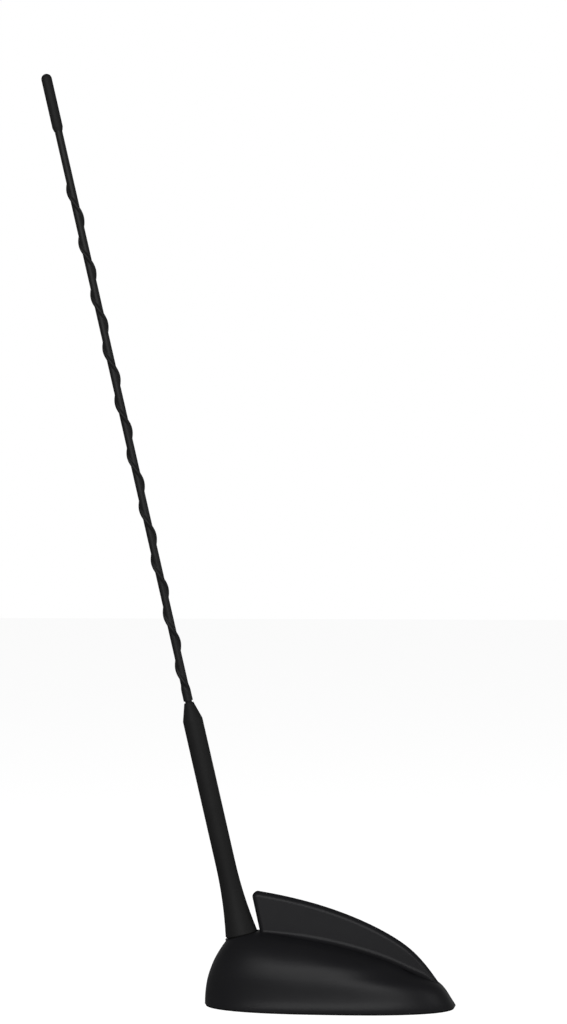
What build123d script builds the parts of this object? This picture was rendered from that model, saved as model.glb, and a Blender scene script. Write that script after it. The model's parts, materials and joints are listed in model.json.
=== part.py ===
from build123d import *
import os
from math import copysign, cos, exp, radians, sin, tan

# Car roof antenna: an oval base with a shark fin, and a whip mast that screws into its rear.
# Millimetres, +Z up, +X towards the low nose. The origin is the mouth of the threaded hole for
# the roof bolt, on the roof plane, at mid-length of the base.

# Cover: an oval body that draws in as it rises, with a small flat on top under the fin
base_length = 156.0
base_width = 67.0
plan_power = 2.5
plan_step = 10
body_height = 46.0
top_length = 18.0
top_width = 5.0
skirt_flare = 3.4
skirt_fade = 4.0
cover_wall = 2.4

# How the body draws in: at the rear, along the sides, and at the nose, where the draw is shared
# between a steady part, a part above the bend and a part near the top
rear_draw = 18.7
rear_power = 2.3
side_power = 3.2
side_root = 0.55
nose_bend = 0.27
nose_steady = 0.235
nose_above_bend = 0.375
nose_near_top = 0.39
nose_power = 4
body_rises = (0, 0.06, 0.16, 0.29, 0.42, 0.56, 0.69, 0.8, 0.89, 0.955, 1)

# Fin
fin_height = 71.4
fin_thickness = 7.2
fin_draft = 4.5
fin_wall = 1.8
fin_gap = 1.7
fin_sink = 1.0
fin_edge = 3.0
fin_least_side = 1.0
fin_overrun = 6.0
valley_size = 3.0
valley_rear_size = 1.5
valley_growth = 4
valley_share = 0.8
valley_sink = 0.12
slot_overlap = 4.0

# Ridge of the fin: its fall at both ends, points on the way as shares of its length and its fall,
# and the shares of its line where the fin and the slot inside it have sections
ridge_rear_fall = 0.14
ridge_nose_fall = 1.3
ridge_nose_rise = 0.25
ridge_ways = ((0.354, 0.148), (0.632, 0.357), (0.872, 0.674))
fin_shares = (0.03, 0.1, 0.2, 0.32, 0.45, 0.58, 0.7, 0.8, 0.88, 0.94, 1)
slot_shares = (0.07, 0.3, 0.55, 0.75)

# Mast line: where it meets the cover and how far it leans to the rear
mast_lean = 12.95
mast_from_rear = 22.9
seat_drop = 3.2
seat_margin = 0.4

# Mast foot, moulded rubber
foot_length = 148.0
foot_radius = 6.25
foot_flare_radius = 10.2
foot_flare_length = 45.0
foot_shoulder_length = 11.0
foot_top_radius = 2.95
foot_edge = 0.8
spigot_radius = 2.2
spigot_length = 9.0

# Whip: core rod, spiral wire and the sleeve shrunk over both
mast_length = 552.6
core_radius = 1.7
core_end_depth = 7.0
wire_radius = 0.6
sleeve_wall = 0.7
sleeve_blend = 0.8
sleeve_gap = 1.2
sleeve_taper = 2.4
sleeve_step = 0.02
spiral_start_gap = 3.0
spiral_end_gap = 33.7
spiral_pitch = 34.1
spiral_phase = 290.0

# Tip cap
cap_radius = 3.35
cap_length = 36.9
cap_socket = 21.0
cap_taper = 2.5
cap_lip = 0.2

# Screw joint between mast and cover
washer_thickness = 0.8
washer_radius = 9.0
stud_radius = 2.95
stud_engaged = 8.0
stud_point = 0.8
stud_collar_radius = 4.0
stud_collar_length = 22.0
core_in_stud = 9.0
socket_radius = 5.0
socket_length = 14.0
socket_flange_radius = 6.6
socket_flange = 2.0
socket_boss_radius = 7.6

# Roof side: seal, base plate and the threaded hole for the roof bolt
seal_thickness = 1.0
seal_inset = 0.6
seal_window_length = 56.0
seal_window_width = 20.0
plate_thickness = 3.0
bolt_hole_radius = 2.5
bolt_hole_depth = 9.5
bolt_boss_radius = 7.0
bolt_boss_roof = 1.5

# Screws that hold the base plate to the cover
cover_screw_front = (56.0, 11.0)
cover_screw_rear = (-50.0, 15.0)
cover_screw_radius = 1.4
cover_screw_depth = 7.0
cover_screw_head_radius = 2.8
cover_screw_head = 1.6
cover_boss_radius = 3.6
drive_slot = 0.8
drive_depth = 1.0

# Circuit board and what stands on it
board_length = 88.0
board_width = 37.0
board_middle = 4.0
board_thickness = 1.6
board_height = 12.0
board_corner = 4.0
board_screw_inset = 5.0
board_screw_radius = 1.2
board_screw_depth = 5.0
board_screw_head_radius = 2.5
board_screw_head = 1.8
standoff_radius = 3.0
shield_length = 30.0
shield_width = 24.0
shield_height = 5.0
shield_middle = -14.0
shield_sheet = 0.4
shield_corner = 1.2
patch_side = 25.0
patch_thickness = 4.0
patch_middle = 28.0
patch_corner = 1.5
pin_radius = 0.5
pin_head_radius = 1.3
pin_head = 0.4
pin_offset = 2.5
element_thickness = 0.8
element_bottom = 26.0
element_tab_width = 6.0
element_tab_middle = 8.0
element_margin = 2.6
element_shares = (0.1, 0.3, 0.5)
spring_thickness = 0.5
spring_width = 5.0
spring_pad = 7.0
spring_foot = 4.5
spring_foot_x = -33.0
spring_bend = 1.5

# Cable jacks, mouths towards the roof
jack_names = ("radio_jack", "satnav_jack", "phone_jack")
jack_first = 15.0
jack_pitch = 11.0
jack_radius = 3.6
jack_bore_radius = 2.4
jack_bore_depth = 7.5
jack_recess = 0.4
jack_flange_side = 9.0
jack_flange = 3.0
jack_corner = 1.0

# Clearances
fit = 0.05
slip = 0.4

os.makedirs("parts", exist_ok=True)

# Heights that several pieces share
plate_bottom = seal_thickness
plate_top = plate_bottom + plate_thickness
board_top = board_height + board_thickness

# Planes of the mast: on the cover's seat, and through the mast's axis with height along it
lean = radians(mast_lean)
mast_forward = Vector(cos(lean), 0, sin(lean))
mast_up = Vector(-sin(lean), 0, cos(lean))
seat_centre = Vector(mast_from_rear - base_length / 2, 0, body_height - seat_drop)
foot_centre = seat_centre + mast_up * washer_thickness
seat_plane = Plane(seat_centre, x_dir=mast_forward, z_dir=mast_up)
foot_plane = Plane(foot_centre, x_dir=mast_forward, z_dir=mast_up)
foot_section = Plane(foot_centre, x_dir=mast_forward, z_dir=(0, -1, 0))
mast_axis = Axis(foot_centre, mast_up)


# Ends and half width of the body at a share of its height, all round smaller by the inset
def body_oval(rise, inset=0.0):
    slope = max(0.0, (rise - nose_bend) / (1 - nose_bend))
    drawn = nose_steady * rise + nose_above_bend * slope + nose_near_top * slope**nose_power
    height = (body_height - seal_thickness - inset) * rise
    rear = inset - base_length / 2 + rear_draw * rise**rear_power
    nose = base_length / 2 - inset - (base_length - 2 * inset - rear_draw - top_length) * drawn
    shoulder = base_width / 2 - skirt_flare - inset - top_width / 2
    side = shoulder * (1 - rise**side_power) ** side_root + top_width / 2
    skirt = skirt_flare * exp(-height / skirt_fade)
    return seal_thickness + height, rear, nose, side + skirt


# Plan of the body at a height: an oval a little squarer than an ellipse
def plan_sketch(height, rear, nose, half):
    points = []
    for turn in range(0, 360, plan_step):
        along = cos(radians(turn))
        across = sin(radians(turn))
        along = copysign(abs(along) ** (2 / plan_power), along)
        across = copysign(abs(across) ** (2 / plan_power), across)
        points.append(((rear + nose) / 2 + along * (nose - rear) / 2, across * half))
    with BuildSketch(Plane.XY.offset(height)) as plan:
        with BuildLine():
            Spline(*points, periodic=True)
        make_face()
    return plan.sketch


# Solid of the body, lofted through its plans
def body_solid(inset):
    with BuildPart() as body:
        loft([plan_sketch(*body_oval(rise, inset)) for rise in body_rises])
    return body.part


# Height of the body's surface over a point in plan, found by halving
def body_surface(x, y):
    low, high = 0.0, 1.0
    for _ in range(40):
        rise = (low + high) / 2
        height, rear, nose, half = body_oval(rise)
        along = abs(x - (rear + nose) / 2) / ((nose - rear) / 2)
        across = along**plan_power + (abs(y) / half) ** plan_power
        low, high = (rise, high) if across < 1 else (low, rise)
    return body_oval(low)[0]


# Ridge of the fin, from its rear top corner down to the nose, where it dips into the body
fin_rear_offset = foot_flare_radius + fin_gap
fin_rear_foot = seat_centre + mast_forward * fin_rear_offset
fin_rear_x = fin_rear_foot.X - (fin_height - fin_rear_foot.Z) * tan(lean)
nose_height, _, nose_x, _ = body_oval(ridge_nose_rise)
ridge_start = (fin_rear_x, fin_height)
ridge_end = (nose_x - fin_sink, nose_height)
ridge_run = ridge_end[0] - ridge_start[0]
ridge_drop = ridge_start[1] - ridge_end[1]
ridge_points = [
    (fin_rear_x + along * ridge_run, fin_height - down * ridge_drop) for along, down in ridge_ways
]
with BuildLine(Plane.XZ) as ridge:
    Spline(
        ridge_start,
        *ridge_points,
        ridge_end,
        tangents=((1, -ridge_rear_fall), (1, -ridge_nose_fall)),
    )

fin_half = fin_thickness / 2
fin_slope = tan(radians(fin_draft))


# Cross-section of the fin at a point of the ridge: round top, drafted sides, hollow curves at the root
def fin_section(top, valley):
    x, crest = top.X, top.Z
    side_top = crest - fin_half + fin_half * sin(radians(fin_draft))
    side_half = fin_half * cos(radians(fin_draft))
    root = min(body_surface(x, fin_half), side_top - fin_least_side)
    size = min(valley, valley_share * (side_top - root))
    out = side_half + (side_top - root) * fin_slope + size
    surface = body_surface(x, out)
    fall = surface - body_surface(x, out + 1)
    foot = min(surface, root) - valley_sink
    start = root + size
    start_half = side_half + (side_top - start) * fin_slope
    corner = foot + fall * size
    corner_half = side_half + (side_top - corner) * fin_slope
    with BuildSketch(Plane.YZ.offset(x)) as section:
        with BuildLine():
            ThreePointArc((-side_half, side_top), (0, crest), (side_half, side_top))
            Line((side_half, side_top), (start_half, start))
            Bezier((start_half, start), (corner_half, corner), (out, foot))
            Line((out, foot), (-out, foot))
            Bezier((-out, foot), (-corner_half, corner), (-start_half, start))
            Line((-start_half, start), (-side_half, side_top))
        make_face()
    return section.sketch


# Fin, cut off at its rear parallel to the mast
with BuildPart() as fin:
    behind = ridge.line @ 0 + Vector(-fin_overrun, 0, fin_overrun * ridge_rear_fall)
    sections = [fin_section(behind, valley_rear_size)]
    for share in fin_shares:
        valley = valley_size * min(1, valley_growth * share)
        sections.append(fin_section(ridge.line @ share, max(valley_rear_size, valley)))
    loft(sections)
    split(bisect_by=Plane(fin_rear_foot, z_dir=mast_forward), keep=Keep.TOP)
    rear_face = fin.faces().sort_by(Axis(fin_rear_foot, mast_forward))[0]
    fillet(rear_face.edges().sort_by(Axis.Z)[1:], fin_edge)

# Hollow of the cover: the body and a slot in the fin, around the bosses for the screws and the socket
cover_screw_places = [(x, side * y) for x, y in (cover_screw_front, cover_screw_rear) for side in (-1, 1)]
with BuildPart() as cover_hollow:
    add(body_solid(cover_wall))
    for share in slot_shares:
        top = ridge.line @ share
        roof = top.Z - fin_half - fin_wall
        floor = body_surface(top.X, 0) - cover_wall - slot_overlap
        roof_half = fin_half - fin_wall
        floor_half = roof_half + (roof - floor) * fin_slope
        with BuildSketch(Plane.YZ.offset(top.X)):
            with BuildLine():
                Polyline(
                    (-floor_half, floor),
                    (floor_half, floor),
                    (roof_half, roof),
                    (-roof_half, roof),
                    close=True,
                )
            make_face()
    loft(ruled=True)
    with BuildSketch(Plane.XY.offset(plate_top)):
        with Locations(*cover_screw_places):
            Circle(cover_boss_radius)
    extrude(amount=body_height, mode=Mode.SUBTRACT)
    with BuildSketch(seat_plane.offset(-socket_length)):
        Circle(socket_boss_radius)
    extrude(amount=body_height, mode=Mode.SUBTRACT)

# Cover with its fin, the seat of the mast, and the bosses inside
with BuildPart() as fin_cover:
    add(body_solid(0))
    with BuildSketch(seat_plane):
        Circle(foot_flare_radius + seat_margin)
    extrude(amount=-socket_length)
    with BuildSketch(seat_plane):
        Circle(foot_flare_radius + seat_margin)
    extrude(amount=body_height, mode=Mode.SUBTRACT)
    add(fin.part)
    add(cover_hollow.part, mode=Mode.SUBTRACT)
    with BuildSketch(seat_plane):
        Circle(socket_radius + fit)
    extrude(amount=-socket_length, mode=Mode.SUBTRACT)
    with BuildSketch(Plane.XY.offset(plate_top)):
        with Locations(*cover_screw_places):
            Circle(cover_screw_radius + fit)
    extrude(amount=cover_screw_depth + slip, mode=Mode.SUBTRACT)
fin_cover.part.label = "fin_cover"
export_step(fin_cover.part, "parts/fin_cover.step")

# Flat rubber seal between the cover and the roof
_, rim_rear, rim_nose, rim_half = body_oval(0)
jack_places = [(jack_first + jack_pitch * place, 0) for place in range(len(jack_names))]
window_middle = (jack_places[-1][0] + jack_radius - bolt_boss_radius) / 2
with BuildPart() as roof_seal:
    add(plan_sketch(0, rim_rear + seal_inset, rim_nose - seal_inset, rim_half - seal_inset))
    extrude(amount=seal_thickness)
    with BuildSketch():
        with Locations((window_middle, 0)):
            SlotOverall(seal_window_length, seal_window_width)
    extrude(amount=seal_thickness, mode=Mode.SUBTRACT)
roof_seal.part.label = "roof_seal"
export_step(roof_seal.part, "parts/roof_seal.step")

# Die-cast base plate with the bolt's boss and the board's standoffs
_, plate_rear, plate_nose, plate_half = body_oval(
    plate_thickness / (body_height - seal_thickness - cover_wall), cover_wall
)
board_screw_x = board_length / 2 - board_screw_inset
board_screw_y = board_width / 2 - board_screw_inset
board_screw_places = [
    (board_middle + end * board_screw_x, side * board_screw_y) for end in (-1, 1) for side in (-1, 1)
]
with BuildPart() as base_plate:
    add(plan_sketch(plate_bottom, plate_rear + slip, plate_nose - slip, plate_half - slip))
    extrude(amount=plate_thickness)
    with BuildSketch(Plane.XY.offset(plate_bottom)):
        with Locations(*jack_places):
            Circle(jack_radius + slip)
        with Locations(*cover_screw_places):
            Circle(cover_screw_radius + fit)
    extrude(amount=plate_thickness, mode=Mode.SUBTRACT)
    with BuildSketch():
        Circle(bolt_boss_radius)
    extrude(amount=bolt_hole_depth + bolt_boss_roof)
    with BuildSketch(Plane.XY.offset(plate_top)):
        with Locations(*board_screw_places):
            Circle(standoff_radius)
    extrude(amount=board_height - plate_top)
    with BuildSketch():
        Circle(bolt_hole_radius)
    extrude(amount=bolt_hole_depth, mode=Mode.SUBTRACT)
    with BuildSketch(Plane.XY.offset(plate_bottom)):
        with Locations(*cover_screw_places):
            Circle(cover_screw_head_radius + slip)
    extrude(amount=cover_screw_head, mode=Mode.SUBTRACT)
    with BuildSketch(Plane.XY.offset(board_height)):
        with Locations(*board_screw_places):
            Circle(board_screw_radius + fit)
    extrude(amount=-board_screw_depth - slip, mode=Mode.SUBTRACT)
base_plate.part.label = "base_plate"
export_step(base_plate.part, "parts/base_plate.step")

# Screws from the base plate up into the cover's bosses
with BuildPart() as cover_screws:
    with BuildSketch(Plane.XY.offset(plate_bottom)):
        with Locations(*cover_screw_places):
            Circle(cover_screw_head_radius)
    extrude(amount=cover_screw_head)
    with BuildSketch(Plane.XY.offset(plate_bottom + cover_screw_head)):
        with Locations(*cover_screw_places):
            Circle(cover_screw_radius)
    extrude(amount=plate_thickness - cover_screw_head + cover_screw_depth)
    drive_faces = cover_screws.faces().filter_by(Axis.Z).group_by(Axis.Z)[0]
    for face in drive_faces:
        with BuildSketch(Plane(face.center())):
            Rectangle(2 * cover_screw_radius, drive_slot)
            Rectangle(drive_slot, 2 * cover_screw_radius)
        extrude(amount=drive_depth, mode=Mode.SUBTRACT)
cover_screws.part.label = "cover_screws"
export_step(cover_screws.part, "parts/cover_screws.step")

# Circuit board
with BuildPart() as amplifier_board:
    with BuildSketch(Plane.XY.offset(board_height)):
        with Locations((board_middle, 0)):
            RectangleRounded(board_length, board_width, board_corner)
        with Locations(*board_screw_places):
            Circle(board_screw_radius + slip, mode=Mode.SUBTRACT)
        with Locations((patch_middle + pin_offset, 0)):
            Circle(pin_radius + fit, mode=Mode.SUBTRACT)
    extrude(amount=board_thickness)
amplifier_board.part.label = "amplifier_board"
export_step(amplifier_board.part, "parts/amplifier_board.step")

with BuildPart() as board_screws:
    with BuildSketch(Plane.XY.offset(board_top)):
        with Locations(*board_screw_places):
            Circle(board_screw_head_radius)
    extrude(amount=board_screw_head)
    with BuildSketch(Plane.XY.offset(board_top)):
        with Locations(*board_screw_places):
            Circle(board_screw_radius)
    extrude(amount=-board_thickness - board_screw_depth)
    fillet(board_screws.faces().filter_by(Axis.Z).group_by(Axis.Z)[-1].edges(), board_screw_head / 2)
    for place in board_screw_places:
        with BuildSketch(Plane((*place, board_top + board_screw_head))):
            Rectangle(2 * board_screw_radius, drive_slot)
            Rectangle(drive_slot, 2 * board_screw_radius)
        extrude(amount=-drive_depth, mode=Mode.SUBTRACT)
board_screws.part.label = "board_screws"
export_step(board_screws.part, "parts/board_screws.step")

# Sheet metal can over the amplifier
with BuildPart() as shield_can:
    with BuildSketch(Plane.XY.offset(board_top)):
        with Locations((shield_middle, 0)):
            RectangleRounded(shield_length, shield_width, shield_corner)
    extrude(amount=shield_height)
    fillet(shield_can.faces().sort_by(Axis.Z)[-1].edges(), shield_corner)
    offset(amount=-shield_sheet, openings=shield_can.faces().sort_by(Axis.Z)[0])
shield_can.part.label = "shield_can"
export_step(shield_can.part, "parts/shield_can.step")

# Ceramic patch for satellite navigation and its feed pin
with BuildPart() as satnav_patch:
    with BuildSketch(Plane.XY.offset(board_top)):
        with Locations((patch_middle, 0)):
            Rectangle(patch_side, patch_side)
        with Locations((patch_middle + pin_offset, 0)):
            Circle(pin_radius + fit, mode=Mode.SUBTRACT)
    extrude(amount=patch_thickness)
    upright_edges = satnav_patch.edges().filter_by(Axis.Z)
    corner_edges = upright_edges.sort_by_distance((patch_middle + pin_offset, 0, board_top))[-4:]
    chamfer(corner_edges, patch_corner)
satnav_patch.part.label = "satnav_patch"
export_step(satnav_patch.part, "parts/satnav_patch.step")

with BuildPart() as patch_pin:
    with BuildSketch(Plane.XY.offset(board_height)):
        with Locations((patch_middle + pin_offset, 0)):
            Circle(pin_radius)
    extrude(amount=board_thickness + patch_thickness + pin_head)
    with BuildSketch(Plane.XY.offset(board_top + patch_thickness)):
        with Locations((patch_middle + pin_offset, 0)):
            Circle(pin_head_radius)
    extrude(amount=pin_head)
patch_pin.part.label = "patch_pin"
export_step(patch_pin.part, "parts/patch_pin.step")

# Phone element: an upright board in the fin, on a tab that stands on the circuit board
element_drop = fin_half + fin_wall + element_margin
element_ridge = [ridge.line @ share for share in element_shares]
element_top = [(point.X, point.Z - element_drop) for point in element_ridge]
with BuildPart() as phone_element:
    with BuildSketch(Plane.XZ.offset(-element_thickness / 2)):
        with BuildLine():
            Polyline(
                *element_top,
                (element_top[-1][0], element_bottom),
                (element_tab_middle + element_tab_width / 2, element_bottom),
                (element_tab_middle + element_tab_width / 2, board_top),
                (element_tab_middle - element_tab_width / 2, board_top),
                (element_tab_middle - element_tab_width / 2, element_bottom),
                (element_top[0][0], element_bottom),
                close=True,
            )
        make_face()
    extrude(amount=element_thickness)
phone_element.part.label = "phone_element"
export_step(phone_element.part, "parts/phone_element.step")

# Brass socket for the mast's stud, put in from below
with BuildPart() as mast_socket:
    with BuildSketch(seat_plane):
        Circle(socket_radius)
        Circle(stud_radius + fit, mode=Mode.SUBTRACT)
    extrude(amount=-socket_length)
    with BuildSketch(seat_plane.offset(-socket_length)):
        Circle(socket_flange_radius)
        Circle(stud_radius + fit, mode=Mode.SUBTRACT)
    extrude(amount=-socket_flange)
mast_socket.part.label = "mast_socket"
export_step(mast_socket.part, "parts/mast_socket.step")

# Bent strip that carries the signal from the socket to the board
spring_line = spring_thickness / 2
pad_plane = seat_plane.offset(-socket_length - socket_flange - spring_line)
pad_rear = pad_plane.from_local_coords((-spring_pad / 2, 0))
pad_front = pad_plane.from_local_coords((spring_pad / 2, 0))
with BuildPart() as contact_spring:
    with BuildSketch(Plane.XZ.offset(-spring_width / 2)):
        with BuildLine():
            FilletPolyline(
                (pad_rear.X, pad_rear.Z),
                (pad_front.X, pad_front.Z),
                (spring_foot_x - spring_foot, board_top + spring_line),
                (spring_foot_x, board_top + spring_line),
                radius=spring_bend,
            )
        trace(line_width=spring_thickness)
    extrude(amount=spring_width)
contact_spring.part.label = "contact_spring"
export_step(contact_spring.part, "parts/contact_spring.step")

# Cable jacks, soldered under the board
for name, place in zip(jack_names, jack_places):
    with BuildPart() as jack:
        with BuildSketch(Plane.XY.offset(plate_bottom + jack_recess)):
            with Locations(place):
                Circle(jack_radius)
        extrude(amount=board_height - plate_bottom - jack_recess)
        with BuildSketch(Plane.XY.offset(board_height)):
            with Locations(place):
                RectangleRounded(jack_flange_side, jack_flange_side, jack_corner)
        extrude(amount=-jack_flange)
        with BuildSketch(Plane.XY.offset(plate_bottom + jack_recess)):
            with Locations(place):
                Circle(jack_bore_radius)
        extrude(amount=jack_bore_depth, mode=Mode.SUBTRACT)
    jack.part.label = name
    export_step(jack.part, f"parts/{name}.step")

# Rubber washer between the seat and the foot
with BuildPart() as mast_washer:
    with BuildSketch(seat_plane):
        Circle(washer_radius)
        Circle(stud_radius + slip, mode=Mode.SUBTRACT)
    extrude(amount=washer_thickness)
mast_washer.part.label = "mast_washer"
export_step(mast_washer.part, "parts/mast_washer.step")

# Stud: thread below the foot, collar moulded into it, and a hole for the core rod
with BuildPart() as mast_stud:
    with BuildSketch(foot_plane.offset(-washer_thickness - stud_engaged)):
        Circle(stud_radius)
    extrude(amount=washer_thickness + stud_engaged)
    chamfer(mast_stud.faces().sort_by(mast_axis)[0].edges(), stud_point)
    with BuildSketch(foot_plane):
        Circle(stud_collar_radius)
    extrude(amount=stud_collar_length)
    with BuildSketch(foot_plane.offset(stud_collar_length)):
        Circle(core_radius + fit)
    extrude(amount=-core_in_stud, mode=Mode.SUBTRACT)
mast_stud.part.label = "mast_stud"
export_step(mast_stud.part, "parts/mast_stud.step")

# Rubber foot, turned about the mast's axis: flare, long straight, cone and a spigot under the sleeve
foot_cone = foot_length - foot_shoulder_length
with BuildPart() as mast_foot:
    with BuildSketch(foot_section):
        with BuildLine():
            Polyline(
                (core_radius + fit, foot_length + spigot_length),
                (spigot_radius, foot_length + spigot_length),
                (spigot_radius, foot_length),
                (foot_top_radius, foot_length),
                (foot_radius, foot_cone),
                (foot_radius, foot_flare_length),
            )
            TangentArc((foot_radius, foot_flare_length), (foot_flare_radius, 0), tangent=(0, -1))
            Polyline(
                (foot_flare_radius, 0),
                (stud_collar_radius + fit, 0),
                (stud_collar_radius + fit, stud_collar_length),
                (core_radius + fit, stud_collar_length),
                (core_radius + fit, foot_length + spigot_length),
            )
        make_face()
    revolve(axis=mast_axis)
    fillet(mast_foot.faces().sort_by(mast_axis)[0].outer_wire().edges(), foot_edge)
mast_foot.part.label = "mast_foot"
export_step(mast_foot.part, "parts/mast_foot.step")

# Core rod
core_bottom = stud_collar_length - core_in_stud
core_top = mast_length - core_end_depth
with BuildPart() as rod_core:
    with BuildSketch(foot_plane.offset(core_bottom)):
        Circle(core_radius)
    extrude(amount=core_top - core_bottom)
rod_core.part.label = "rod_core"
export_step(rod_core.part, "parts/rod_core.step")

# Spiral wire: a round section carried up the rod with a steady left-hand twist. The wire and the
# sleeve are made upright, from the foot of the spiral, and then set on the mast's axis.
wire_place = core_radius + fit + wire_radius
spiral_start = foot_length + spigot_length + spiral_start_gap
spiral_length = mast_length - cap_length - spiral_end_gap - spiral_start
spiral_facing = mast_forward * cos(radians(spiral_phase)) + Vector(0, sin(radians(spiral_phase)), 0)
spiral_plane = Plane(foot_centre + mast_up * spiral_start, x_dir=spiral_facing, z_dir=mast_up)
spiral_turn = -360 * spiral_length / spiral_pitch
with BuildSketch() as wire_section:
    with Locations((wire_place, 0)):
        Circle(wire_radius)
wire_turns = Solid.extrude_linear_with_rotation(
    wire_section.face(), (0, 0, 0), (0, 0, spiral_length), spiral_turn
)
with BuildPart() as spiral_wire:
    add(spiral_plane.location * wire_turns)
spiral_wire.part.label = "spiral_wire"
export_step(spiral_wire.part, "parts/spiral_wire.step")

# Shrunk sleeve: flared over the spigot, a bead over the wire, then plain up into the cap
sleeve_inside = core_radius + fit
sleeve_outside = sleeve_inside + sleeve_wall
sleeve_bottom = foot_length + sleeve_gap - spiral_start
flare_inside = spigot_radius + fit
flare_outside = flare_inside + sleeve_wall
flare_top = foot_length + spigot_length + fit - spiral_start
sleeve_top = mast_length - cap_length + cap_socket
with BuildSketch() as bead_hollow:
    Circle(sleeve_inside)
    with Locations((wire_place, 0)):
        Circle(wire_radius + fit)
with BuildSketch() as bead_section:
    Circle(sleeve_outside)
    with Locations((wire_place, 0)):
        Circle(wire_radius + fit + sleeve_wall)
    fillet(bead_section.vertices(), sleeve_blend)
    add(bead_hollow.sketch, mode=Mode.SUBTRACT)
beaded_turns = Solid.extrude_linear_with_rotation(
    bead_section.face(), (0, 0, 0), (0, 0, spiral_length), spiral_turn
)
with BuildPart() as upright_sleeve:
    add(beaded_turns)
    with BuildSketch(Plane.XZ):
        with BuildLine():
            Polyline(
                (flare_inside, sleeve_bottom),
                (flare_outside, sleeve_bottom),
                (flare_outside, flare_top),
                (sleeve_outside - sleeve_step, flare_top + sleeve_taper),
                (sleeve_outside - sleeve_step, 0),
                (sleeve_inside + sleeve_step, 0),
                (sleeve_inside + sleeve_step, flare_top),
                (flare_inside, flare_top),
                close=True,
            )
        make_face()
    revolve(axis=Axis.Z)
    with BuildSketch(Plane.XY.offset(spiral_length)):
        Circle(sleeve_outside - sleeve_step)
        Circle(sleeve_inside + sleeve_step, mode=Mode.SUBTRACT)
    extrude(amount=sleeve_top - spiral_start - spiral_length)
with BuildPart() as mast_sleeve:
    add(spiral_plane.location * upright_sleeve.part)
mast_sleeve.part.label = "mast_sleeve"
export_step(mast_sleeve.part, "parts/mast_sleeve.step")

# Tip cap with a round end, over the top of the sleeve and the rod
cap_bottom = mast_length - cap_length
with BuildPart() as tip_cap:
    with BuildSketch(foot_section):
        with BuildLine():
            Polyline(
                (0, core_top),
                (core_radius + fit, core_top),
                (core_radius + fit, sleeve_top),
                (sleeve_outside + fit, sleeve_top),
                (sleeve_outside + fit, cap_bottom),
                (sleeve_outside + fit + cap_lip, cap_bottom),
                (cap_radius, cap_bottom + cap_taper),
                (cap_radius, mast_length - cap_radius),
            )
            RadiusArc((cap_radius, mast_length - cap_radius), (0, mast_length), -cap_radius)
            Line((0, mast_length), (0, core_top))
        make_face()
    revolve(axis=mast_axis)
tip_cap.part.label = "tip_cap"
export_step(tip_cap.part, "parts/tip_cap.step")
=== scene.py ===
import json
import math

import bpy
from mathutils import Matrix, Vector


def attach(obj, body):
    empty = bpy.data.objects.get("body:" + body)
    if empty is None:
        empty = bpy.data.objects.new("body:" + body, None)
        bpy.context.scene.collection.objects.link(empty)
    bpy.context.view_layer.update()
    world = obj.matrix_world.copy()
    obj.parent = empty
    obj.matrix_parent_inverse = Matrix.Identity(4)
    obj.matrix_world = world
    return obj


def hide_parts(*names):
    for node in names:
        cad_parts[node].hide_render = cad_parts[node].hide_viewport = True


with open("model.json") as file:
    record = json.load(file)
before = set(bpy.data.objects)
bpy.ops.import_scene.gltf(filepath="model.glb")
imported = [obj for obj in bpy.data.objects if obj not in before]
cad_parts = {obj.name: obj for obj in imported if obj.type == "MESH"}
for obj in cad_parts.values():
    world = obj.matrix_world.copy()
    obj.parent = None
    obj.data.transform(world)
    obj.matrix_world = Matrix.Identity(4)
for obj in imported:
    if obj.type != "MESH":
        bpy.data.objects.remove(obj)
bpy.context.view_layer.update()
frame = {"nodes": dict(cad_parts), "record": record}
scene = bpy.context.scene
scene.view_settings.view_transform = "Standard"
print("frame loaded with", len(frame["nodes"]), "nodes")

mmPerMetre = 1000
grainDetail = 4.0  # octaves in the fine grain of every finish


# Colour written as an sRGB hex code, turned into linear red, green, blue and alpha
def linear(code):
    shares = [int(code[at : at + 2], 16) / 255 for at in (0, 2, 4)]
    return [s / 12.92 if s <= 0.04045 else ((s + 0.055) / 1.055) ** 2.4 for s in shares] + [1.0]


# Texture scale that gives features of that many millimetres
def featureScale(millimetres):
    return mmPerMetre / millimetres


# Adds a shader node, gives its properties and sockets their values, and links its inputs
def addNode(tree, kind, settings, links):
    node = tree.nodes.new(kind)
    for name, value in settings.items():
        if isinstance(name, str) and hasattr(node, name):
            setattr(node, name, value)
        else:
            node.inputs[name].default_value = value
    for name, source in links.items():
        tree.links.new(source, node.inputs[name])
    return node


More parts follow.
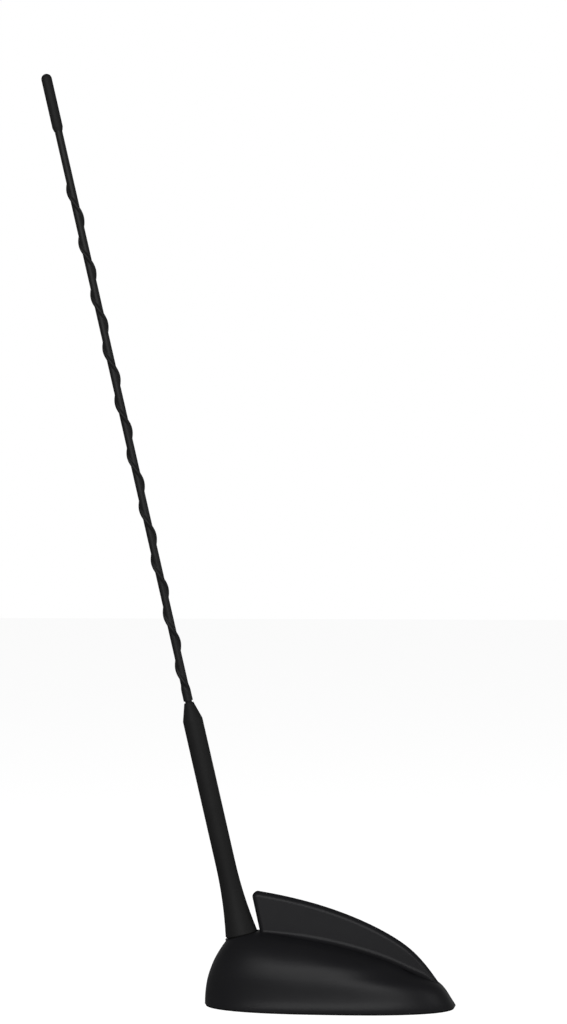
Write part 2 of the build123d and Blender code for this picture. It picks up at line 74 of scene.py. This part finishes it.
# A finish from its settings: a pattern that wanders between two tones, and a finer grain that wanders
# between two roughnesses and lifts the surface
def makeFinish(look):
    material = bpy.data.materials.new(look["name"])
    material.use_nodes = True
    tree = material.node_tree
    shader = tree.nodes["Principled BSDF"]
    shader.inputs["Metallic"].default_value = look["metallic"]
    shader.inputs["Specular IOR Level"].default_value = look["specular"]
    place = addNode(tree, "ShaderNodeTexCoord", {}, {})
    stretched = addNode(
        tree, "ShaderNodeMapping", {"Scale": look["stretch"]}, {"Vector": place.outputs["Object"]}
    )
    pattern = addNode(
        tree,
        look["pattern"],
        {"Scale": featureScale(look["patternMm"])},
        {"Vector": stretched.outputs["Vector"]},
    )
    grain = addNode(
        tree,
        "ShaderNodeTexNoise",
        {"Scale": featureScale(look["grainMm"]), "Detail": grainDetail},
        {"Vector": stretched.outputs["Vector"]},
    )
    tone = addNode(
        tree,
        "ShaderNodeMix",
        {"data_type": "RGBA", 6: linear(look["colours"][0]), 7: linear(look["colours"][1])},
        {0: pattern.outputs[0]},
    )
    gloss = addNode(
        tree,
        "ShaderNodeMapRange",
        {"To Min": look["roughness"][0], "To Max": look["roughness"][1]},
        {"Value": grain.outputs[0]},
    )
    lift = addNode(
        tree,
        "ShaderNodeBump",
        {"Strength": look["lift"], "Distance": look["liftMm"] / mmPerMetre},
        {"Height": grain.outputs[0]},
    )
    tree.links.new(tone.outputs[2], shader.inputs["Base Color"])
    tree.links.new(gloss.outputs[0], shader.inputs["Roughness"])
    tree.links.new(lift.outputs["Normal"], shader.inputs["Normal"])
    return material


evenly = (1.0, 1.0, 1.0)
cloudy = "ShaderNodeTexNoise"

# Moulded black ASA of the cover: a satin skin, so that the fin's flat face catches the soft light as
# one even grey. The tool's spark grain is about 0.1 mm and is drawn at 0.8 mm, to be seen at all.
coverFinish = {
    "name": "mouldedAsaPlastic",
    "colours": ("171719", "1b1b1d"),
    "roughness": (0.36, 0.46),
    "metallic": 0.0,
    "specular": 0.14,
    "pattern": cloudy,
    "patternMm": 22.0,
    "stretch": evenly,
    "grainMm": 0.8,
    "lift": 0.25,
    "liftMm": 0.03,
}
# Moulded EPDM rubber: duller than the cover, with a bloom that is a little uneven. Its grain of about
# 0.1 mm is drawn at 0.7 mm.
footFinish = {
    "name": "mouldedEpdmRubber",
    "colours": ("1a1a1a", "202020"),
    "roughness": (0.52, 0.64),
    "metallic": 0.0,
    "specular": 0.1,
    "pattern": cloudy,
    "patternMm": 14.0,
    "stretch": evenly,
    "grainMm": 0.7,
    "lift": 0.25,
    "liftMm": 0.03,
}
# Heat-shrunk polyolefin of the sleeve: about as black as the cover, with a satin line along the rod.
# Its skin is finer than the 1.2 mm grain that is drawn, which is coarse enough to show.
sleeveFinish = {
    "name": "shrunkPolyolefin",
    "colours": ("171717", "1d1d1d"),
    "roughness": (0.4, 0.5),
    "metallic": 0.0,
    "specular": 0.14,
    "pattern": cloudy,
    "patternMm": 9.0,
    "stretch": evenly,
    "grainMm": 1.2,
    "lift": 0.2,
    "liftMm": 0.03,
}
# Closed-cell rubber of the seal and the washer: flat black, shows only as a thin dark line
sealFinish = {
    "name": "closedCellRubber",
    "colours": ("0c0c0c", "131313"),
    "roughness": (0.75, 0.9),
    "metallic": 0.0,
    "specular": 0.15,
    "pattern": "ShaderNodeTexVoronoi",
    "patternMm": 1.2,
    "stretch": evenly,
    "grainMm": 0.6,
    "lift": 0.4,
    "liftMm": 0.05,
}
# Die-cast aluminium of the base plate: pale grey with the cloudy flow marks of casting
castFinish = {
    "name": "dieCastAluminium",
    "colours": ("a9abae", "c2c4c6"),
    "roughness": (0.42, 0.6),
    "metallic": 1.0,
    "specular": 0.5,
    "pattern": cloudy,
    "patternMm": 12.0,
    "stretch": (1.0, 2.0, 1.0),
    "grainMm": 0.6,
    "lift": 0.3,
    "liftMm": 0.04,
}
# Zinc-plated steel: bright and slightly blotched
platedFinish = {
    "name": "zincPlatedSteel",
    "colours": ("b5b4ae", "cfcdc4"),
    "roughness": (0.25, 0.4),
    "metallic": 1.0,
    "specular": 0.5,
    "pattern": cloudy,
    "patternMm": 2.5,
    "stretch": evenly,
    "grainMm": 0.3,
    "lift": 0.15,
    "liftMm": 0.01,
}
# Tinned steel of the shield can: rolled sheet with lines along its length
tinnedFinish = {
    "name": "tinnedSteelSheet",
    "colours": ("b9bab9", "d2d2d0"),
    "roughness": (0.22, 0.4),
    "metallic": 1.0,
    "specular": 0.5,
    "pattern": cloudy,
    "patternMm": 4.0,
    "stretch": (1.0, 12.0, 12.0),
    "grainMm": 2.0,
    "lift": 0.15,
    "liftMm": 0.01,
}
# Solder mask on glass epoxy: green, lighter over the copper areas
boardFinish = {
    "name": "solderMaskedBoard",
    "colours": ("0d4a22", "2b7a3d"),
    "roughness": (0.3, 0.42),
    "metallic": 0.0,
    "specular": 0.5,
    "pattern": "ShaderNodeTexVoronoi",
    "patternMm": 6.0,
    "stretch": evenly,
    "grainMm": 0.5,
    "lift": 0.15,
    "liftMm": 0.02,
}
# Fired dielectric ceramic of the patch: warm off-white with fine specks
ceramicFinish = {
    "name": "firedDielectricCeramic",
    "colours": ("cbbfa8", "ddd5c4"),
    "roughness": (0.5, 0.65),
    "metallic": 0.0,
    "specular": 0.5,
    "pattern": "ShaderNodeTexVoronoi",
    "patternMm": 0.8,
    "stretch": evenly,
    "grainMm": 0.4,
    "lift": 0.2,
    "liftMm": 0.02,
}
# Turned brass: yellow metal dulled in patches
brassFinish = {
    "name": "turnedBrass",
    "colours": ("b08d45", "cdab62"),
    "roughness": (0.25, 0.42),
    "metallic": 1.0,
    "specular": 0.5,
    "pattern": cloudy,
    "patternMm": 3.0,
    "stretch": (1.0, 1.0, 6.0),
    "grainMm": 0.8,
    "lift": 0.1,
    "liftMm": 0.01,
}
# Moulded nylon of the jacks: dark grey, dry skin
jackFinish = {
    "name": "mouldedNylon",
    "colours": ("38393c", "434447"),
    "roughness": (0.5, 0.65),
    "metallic": 0.0,
    "specular": 0.4,
    "pattern": cloudy,
    "patternMm": 3.0,
    "stretch": evenly,
    "grainMm": 0.4,
    "lift": 0.2,
    "liftMm": 0.02,
}
# Pultruded glass fibre of the core rod: straw-coloured, streaked along its length
fibreFinish = {
    "name": "pultrudedGlassFibre",
    "colours": ("b3a988", "d0c8ab"),
    "roughness": (0.35, 0.5),
    "metallic": 0.0,
    "specular": 0.5,
    "pattern": cloudy,
    "patternMm": 0.8,
    "stretch": (1.0, 1.0, 0.03),
    "grainMm": 0.5,
    "lift": 0.2,
    "liftMm": 0.02,
}
finishes = {
    "cover_plastic": makeFinish(coverFinish),
    "foot_rubber": makeFinish(footFinish),
    "sleeve_plastic": makeFinish(sleeveFinish),
    "seal_rubber": makeFinish(sealFinish),
    "die_cast": makeFinish(castFinish),
    "plated_steel": makeFinish(platedFinish),
    "tinned_steel": makeFinish(tinnedFinish),
    "circuit_board": makeFinish(boardFinish),
    "patch_ceramic": makeFinish(ceramicFinish),
    "brass": makeFinish(brassFinish),
    "jack_plastic": makeFinish(jackFinish),
    "glass_fibre": makeFinish(fibreFinish),
}
for subpart in frame["record"]["subparts"]:
    mesh = frame["nodes"][subpart["node"]].data
    mesh.materials.clear()
    mesh.materials.append(finishes[subpart["material_slot"]])
print("finishes given to the CAD nodes:", len(finishes))

# The mast's own frame, as in the CAD, in millimetres and degrees: its seat, how far up its line the
# foot starts, the line up the mast and the way to the nose
mast = {"lean": 12.95, "seat": (-55.1, 0, 42.8), "footRise": 0.8}
mastLean = math.radians(mast["lean"])
mastUp = Vector((-math.sin(mastLean), 0, math.cos(mastLean)))
mastForward = Vector((math.cos(mastLean), 0, math.sin(mastLean)))
mastSide = Vector((0, 1, 0))
mastFoot = Vector(mast["seat"]) + mastUp * mast["footRise"]


# A closed mesh turned about the mast's line. Each ring is a height in millimetres and a list of
# (angle, radius); every ring has the same count, and the last ring joins the first.
def turnedPiece(name, rings, finish, sharpTurn):
    points, faces = [], []
    count = len(rings[0][1])
    for height, ring in rings:
        for angle, radius in ring:
            out = mastForward * math.cos(angle) + mastSide * math.sin(angle)
            points.append((mastFoot + mastUp * height + out * radius) / mmPerMetre)
    for row in range(len(rings)):
        low, high = row * count, (row + 1) % len(rings) * count
        for at in range(count):
            after = (at + 1) % count
            faces.append((low + at, low + after, high + after, high + at))
    mesh = bpy.data.meshes.new(name)
    mesh.from_pydata(points, [], faces)
    mesh.shade_smooth()
    mesh.set_sharp_from_angle(angle=math.radians(sharpTurn))
    mesh.materials.append(finish)
    piece = bpy.data.objects.new(name, mesh)
    scene.collection.objects.link(piece)
    return piece


# Shrunk sleeve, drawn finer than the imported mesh, with the bead running out softly past the wire's ends
sleeve = {
    "bottom": 149.2,
    "flareRadius": 2.95,
    "flareInside": 2.25,
    "flareTop": 157.05,
    "taperTop": 159.45,
    "radius": 2.43,
    "inside": 1.77,
    "beadStart": 160.0,
    "beadEnd": 482.0,
    "runOut": 4.0,
    "top": 536.7,
    "pitch": 34.1,
    "phase": 290.0,
    "wireAt": 2.35,
    "beadRadius": 1.35,
    "wireHollow": 0.65,
    "wireSpan": 1.0,  # radians each side of the bead's middle that the wire's hollow stays within
    "blend": 0.8,
    "columns": 96,
    "evenShare": 0.45,  # even part of the columns' spacing, and the part that crowds to the bead
    "crowdShare": 0.55,
    "step": 1.2,
    "sharpTurn": 38.0,  # degrees past which an edge stays sharp
}
blendAt = sleeve["radius"] + sleeve["blend"]
beadReach = sleeve["beadRadius"] + sleeve["blend"]
blendTurn = math.acos(
    (blendAt**2 + sleeve["wireAt"] ** 2 - beadReach**2) / (2 * blendAt * sleeve["wireAt"])
)
blendCentre = (blendAt * math.cos(blendTurn), blendAt * math.sin(blendTurn))
beadShare = sleeve["beadRadius"] / beadReach
beadEdge = math.atan2(
    blendCentre[1] * beadShare,
    sleeve["wireAt"] + (blendCentre[0] - sleeve["wireAt"]) * beadShare,
)


# Outer radius of the beaded sleeve at an angle from the bead's middle
def beadOutline(turn):
    turn = abs(turn)
    if turn >= blendTurn:
        return sleeve["radius"]
    if turn >= beadEdge:
        off = turn - blendTurn
        return blendAt * math.cos(off) - math.sqrt(sleeve["blend"] ** 2 - (blendAt * math.sin(off)) ** 2)
    across = sleeve["wireAt"] * math.sin(turn)
    return sleeve["wireAt"] * math.cos(turn) + math.sqrt(sleeve["beadRadius"] ** 2 - across**2)


# Columns crowd towards the bead's middle, where the outline turns most
def columnTurn(column):
    share = 2 * column / sleeve["columns"] - 1
    return math.pi * share * (sleeve["evenShare"] + sleeve["crowdShare"] * abs(share))


# Angle about the mast's line that the bead's middle has at a height
def beadFacing(height):
    return math.radians(sleeve["phase"] - 360 * (height - sleeve["beadStart"]) / sleeve["pitch"])


# Outer radius of the sleeve without its bead: a flare over the foot's spigot, a taper and a plain tube
def plainRadius(height):
    if height <= sleeve["flareTop"]:
        return sleeve["flareRadius"]
    share = min(1, (height - sleeve["flareTop"]) / (sleeve["taperTop"] - sleeve["flareTop"]))
    return sleeve["flareRadius"] + share * (sleeve["radius"] - sleeve["flareRadius"])


# Share of the bead's full height, which eases to nothing past the bead's ends
def beadHeight(height):
    past = max(sleeve["beadStart"] - height, height - sleeve["beadEnd"], 0)
    share = max(0, 1 - past / sleeve["runOut"])
    return share * share * (3 - 2 * share)


def outerRing(height):
    facing, plain, bead = beadFacing(height), plainRadius(height), beadHeight(height)
    ring = []
    for column in range(sleeve["columns"]):
        turn = columnTurn(column)
        ring.append((facing + turn, plain + bead * (beadOutline(turn) - sleeve["radius"])))
    return height, ring


def hollowRing(height):
    facing = beadFacing(height)
    inside = sleeve["flareInside"] if height <= sleeve["flareTop"] else sleeve["inside"]
    wired = sleeve["beadStart"] <= height <= sleeve["beadEnd"]
    ring = []
    for column in range(sleeve["columns"]):
        turn = columnTurn(column)
        across = sleeve["wireAt"] * math.sin(turn)
        radius = inside
        if wired and abs(across) < sleeve["wireHollow"] and abs(turn) < sleeve["wireSpan"]:
            reach = math.sqrt(sleeve["wireHollow"] ** 2 - across**2)
            radius = max(inside, sleeve["wireAt"] * math.cos(turn) + reach)
        ring.append((facing + turn, radius))
    return height, ring


sleeveLength = sleeve["top"] - sleeve["bottom"]
sleeveRows = math.ceil(sleeveLength / sleeve["step"])
sleeveHeights = [sleeve["bottom"] + sleeveLength * row / sleeveRows for row in range(sleeveRows + 1)]
sleeveRings = [outerRing(height) for height in sleeveHeights]
sleeveRings += [hollowRing(height) for height in reversed(sleeveHeights)]
spiralSleeve = turnedPiece("spiralSleeve", sleeveRings, finishes["sleeve_plastic"], sleeve["sharpTurn"])
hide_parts("mast_sleeve")
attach(spiralSleeve, "mast")
print("spiral sleeve rings:", len(sleeveRings))

# White studio, in metres: the camera sees a white room, and the plastic mirrors a dim one whose walls
# are brighter than its ceiling
studio = {
    "worldColour": "ffffff",
    "white": 1.0,
    "wall": 0.32,
    "ceiling": 0.1,
    "ceilingFrom": 0.6,
    "floorGlow": 0.9,
    "floorColour": "b4b4b4",
    "floorHalf": 6.0,
    "floorDrop": 0.0002,
}


# 1 for what the camera sees straight or through something clear, and 0 for other light
def directlySeen(tree):
    path = addNode(tree, "ShaderNodeLightPath", {}, {})
    seen = addNode(
        tree,
        "ShaderNodeMath",
        {"operation": "MAXIMUM"},
        {0: path.outputs["Is Camera Ray"], 1: path.outputs["Is Transmission Ray"]},
    )
    return seen.outputs[0]


world = bpy.data.worlds.new("whiteStudio")
scene.world = world
world.use_nodes = True
worldTree = world.node_tree
worldWay = addNode(worldTree, "ShaderNodeTexCoord", {}, {})
worldRise = addNode(worldTree, "ShaderNodeSeparateXYZ", {}, {0: worldWay.outputs["Generated"]})
worldRoom = addNode(
    worldTree,
    "ShaderNodeMapRange",
    {"From Max": studio["ceilingFrom"], "To Min": studio["wall"], "To Max": studio["ceiling"]},
    {"Value": worldRise.outputs["Z"]},
)
worldLevel = addNode(
    worldTree,
    "ShaderNodeMapRange",
    {"To Max": studio["white"]},
    {"Value": directlySeen(worldTree), "To Min": worldRoom.outputs[0]},
)
worldTree.links.new(worldLevel.outputs[0], worldTree.nodes["Background"].inputs["Strength"])
worldTree.nodes["Background"].inputs["Color"].default_value = linear(studio["worldColour"])

floorMesh = bpy.data.meshes.new("studioFloor")
half, drop = studio["floorHalf"], studio["floorDrop"]
floorMesh.from_pydata(
    [(-half, -half, -drop), (half, -half, -drop), (half, half, -drop), (-half, half, -drop)],
    [],
    [(0, 1, 2, 3)],
)
floor = bpy.data.objects.new("studioFloor", floorMesh)
scene.collection.objects.link(floor)
floorFinish = bpy.data.materials.new("paintedStudioFloor")
floorFinish.use_nodes = True
floorTree = floorFinish.node_tree
floorTree.nodes.remove(floorTree.nodes["Principled BSDF"])
floorLevel = addNode(
    floorTree,
    "ShaderNodeMath",
    {"operation": "MULTIPLY", 1: studio["floorGlow"]},
    {0: directlySeen(floorTree)},
)
floorGlow = addNode(floorTree, "ShaderNodeEmission", {}, {"Strength": floorLevel.outputs[0]})
floorPaint = addNode(floorTree, "ShaderNodeBsdfDiffuse", {"Color": linear(studio["floorColour"])}, {})
floorBoth = addNode(
    floorTree, "ShaderNodeAddShader", {}, {0: floorGlow.outputs[0], 1: floorPaint.outputs[0]}
)
floorTree.links.new(floorBoth.outputs[0], floorTree.nodes["Material Output"].inputs["Surface"])
floorMesh.materials.append(floorFinish)

# Soft boxes: a wide one in front, and a weaker one from the nose's side
softBoxes = (
    {
        "name": "frontBox",
        "at": (0.0, -1.85, 0.86),
        "aim": (0, 0, 0.12),
        "size": (2.2, 1.0),
        "watts": 33.0,
    },
    {
        "name": "noseBox",
        "at": (1.8, -0.5, 0.7),
        "aim": (0, 0, 0.1),
        "size": (0.8, 0.8),
        "watts": 5.0,
    },
)
for box in softBoxes:
    lamp = bpy.data.lights.new(box["name"], "AREA")
    lamp.shape = "RECTANGLE"
    lamp.size, lamp.size_y = box["size"]
    lamp.energy = box["watts"]
    holder = bpy.data.objects.new(box["name"], lamp)
    holder.location = box["at"]
    holder.rotation_euler = (Vector(box["aim"]) - Vector(box["at"])).to_track_quat("-Z", "Y").to_euler()
    holder.visible_camera = False
    scene.collection.objects.link(holder)
print("studio lit by", len(softBoxes), "soft boxes")

# Level camera, turned a little towards the nose, as in the photograph
cameraView = {
    "target": (-0.029, 0.0, 0.307),
    "distance": 1.67,
    "azimuth": 5.0,
    "lens": 94.2,
    "sensor": 36.0,
}
turned = math.radians(cameraView["azimuth"])
away = Vector((math.sin(turned), -math.cos(turned), 0))
lens = bpy.data.cameras.new("photoCamera")
lens.sensor_width = cameraView["sensor"]
lens.lens = cameraView["lens"]
camera = bpy.data.objects.new("photoCamera", lens)
camera.location = Vector(cameraView["target"]) + away * cameraView["distance"]
camera.rotation_euler = (-away).to_track_quat("-Z", "Y").to_euler()
scene.collection.objects.link(camera)
scene.camera = camera
